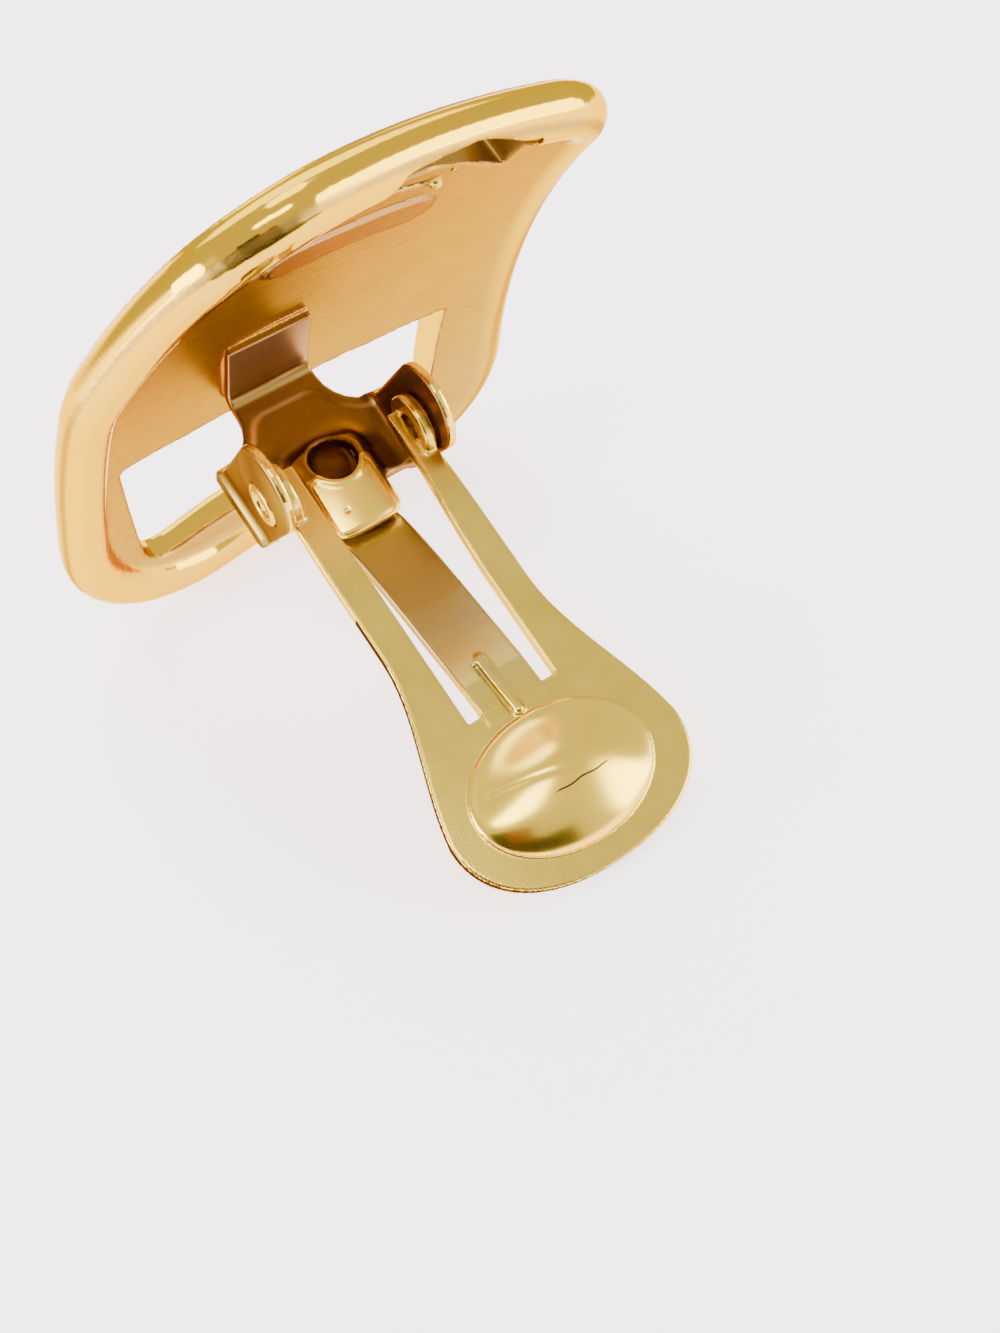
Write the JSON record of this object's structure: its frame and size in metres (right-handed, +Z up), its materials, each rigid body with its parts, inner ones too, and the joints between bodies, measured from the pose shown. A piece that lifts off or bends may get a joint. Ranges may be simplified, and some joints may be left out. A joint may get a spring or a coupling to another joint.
{
  "type": "clip-on earring",
  "caption": "Clip-on earring: domed openwork gold ornament with a soldered clip base and a hinged, sprung ear paddle, standing open.",
  "frame": {"origin": "middle of the bounding box of the open earring, on the ground", "axes": "+Z up; X along the clip's hinge; +Y the way that the open paddle points, away from the ornament's back"},
  "size_m": [0.0198, 0.0252, 0.0213],
  "materials": {
    "cast_gold": "polished rim, brushed back",
    "stamped_gold": "satin"
  },
  "bodies": {
    "ornament": {"ornament_and_clip_base": "cast_gold"},
    "paddle": {"paddle": "stamped_gold"}
  },
  "joints": [
    {"name": "paddle_hinge", "type": "hinge", "parent": "ornament", "child": "paddle", "pos_m": [0.0009, -0.00083, 0.00923], "axis": [1, 0, 0], "range_deg": [0, 92]}
  ]
}
